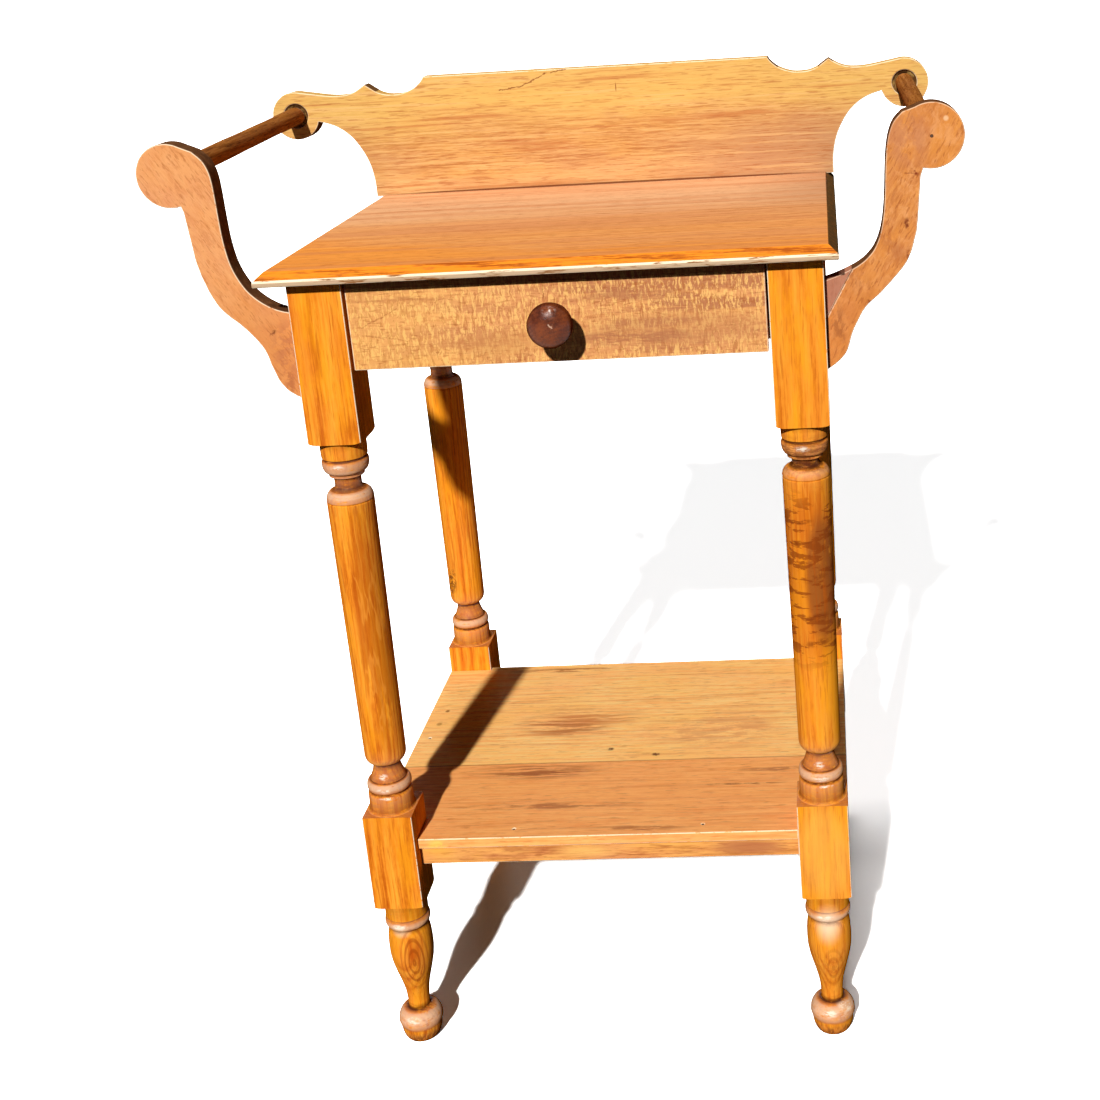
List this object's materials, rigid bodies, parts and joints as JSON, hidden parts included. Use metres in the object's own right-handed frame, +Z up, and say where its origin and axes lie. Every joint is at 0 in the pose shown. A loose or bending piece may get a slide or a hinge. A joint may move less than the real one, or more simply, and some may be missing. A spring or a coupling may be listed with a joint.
{
  "type": "washstand",
  "caption": "Small wooden washstand on turned legs, with a drawer under its top, a low shelf, a scrolled back board and towel bars on curved arms at the sides.",
  "frame": {"origin": "on the floor, under the middle of the overall box", "axes": "+Z up, +Y to the back, so the drawer opens towards -Y, and +X to the right of someone facing the drawer"},
  "size_m": [0.6607, 0.4274, 0.8537],
  "materials": {
    "leg_wood": "honey-orange stained oak, turned, aged satin varnish with dark grooves and worn ridges",
    "board_wood": "honey-orange stained hardwood boards, long straight figure, aged satin varnish",
    "drawer_front_wood": "lighter tan stained hardwood with curly flecks, aged satin varnish",
    "bar_wood": "darker brown stained dowel, worn satin varnish",
    "knob_wood": "dark red-brown turned walnut, glossy varnish",
    "raw_wood": "unfinished pale secondary wood, dull and dusty",
    "steel": "dull dark steel brads and screw"
  },
  "bodies": {
    "stand": {"leg_front_left": "leg_wood", "leg_front_right": "leg_wood", "leg_back_left": "leg_wood", "leg_back_right": "leg_wood", "top_board": "board_wood", "back_board": "board_wood", "apron_left": "board_wood", "apron_right": "board_wood", "apron_back": "board_wood", "top_rail_front": "board_wood", "shelf_board": "board_wood", "shelf_rail_front": "board_wood", "shelf_rail_back": "board_wood", "shelf_rail_left": "board_wood", "shelf_rail_right": "board_wood", "towel_bracket_left": "board_wood", "towel_bracket_right": "board_wood", "bracket_corner_right": "board_wood", "towel_bar_left": "bar_wood", "towel_bar_right": "bar_wood", "drawer_runner_left": "raw_wood", "drawer_runner_right": "raw_wood", "drawer_guide_left": "raw_wood", "drawer_guide_right": "raw_wood", "drawer_kicker_left": "raw_wood", "drawer_kicker_right": "raw_wood", "drawer_stop_left": "raw_wood", "drawer_stop_right": "raw_wood", "glue_block_left": "raw_wood", "glue_block_middle": "raw_wood", "glue_block_right": "raw_wood", "bracket_dowel_left_lower": "raw_wood", "bracket_dowel_left_upper": "raw_wood", "bracket_dowel_right_lower": "raw_wood", "bracket_dowel_right_upper": "raw_wood", "back_board_dowel_1": "raw_wood", "back_board_dowel_2": "raw_wood", "back_board_dowel_3": "raw_wood", "back_board_dowel_4": "raw_wood", "towel_bar_brad_left": "steel", "towel_bar_brad_right": "steel", "shelf_brad_front_left": "steel", "shelf_brad_front_right": "steel", "shelf_brad_side_left": "steel", "shelf_brad_side_right": "steel"},
    "drawer": {"drawer_front": "drawer_front_wood", "drawer_knob": "knob_wood", "drawer_side_left": "raw_wood", "drawer_side_right": "raw_wood", "drawer_back": "raw_wood", "drawer_bottom": "raw_wood", "knob_screw": "steel", "drawer_brad_front_left": "steel", "drawer_brad_front_right": "steel", "drawer_brad_back_left": "steel", "drawer_brad_back_right": "steel"}
  },
  "joints": [
    {"name": "drawer_slide", "type": "slide", "parent": "stand", "child": "drawer", "axis": [0, -1, 0], "range_m": [0, 0.26]}
  ]
}
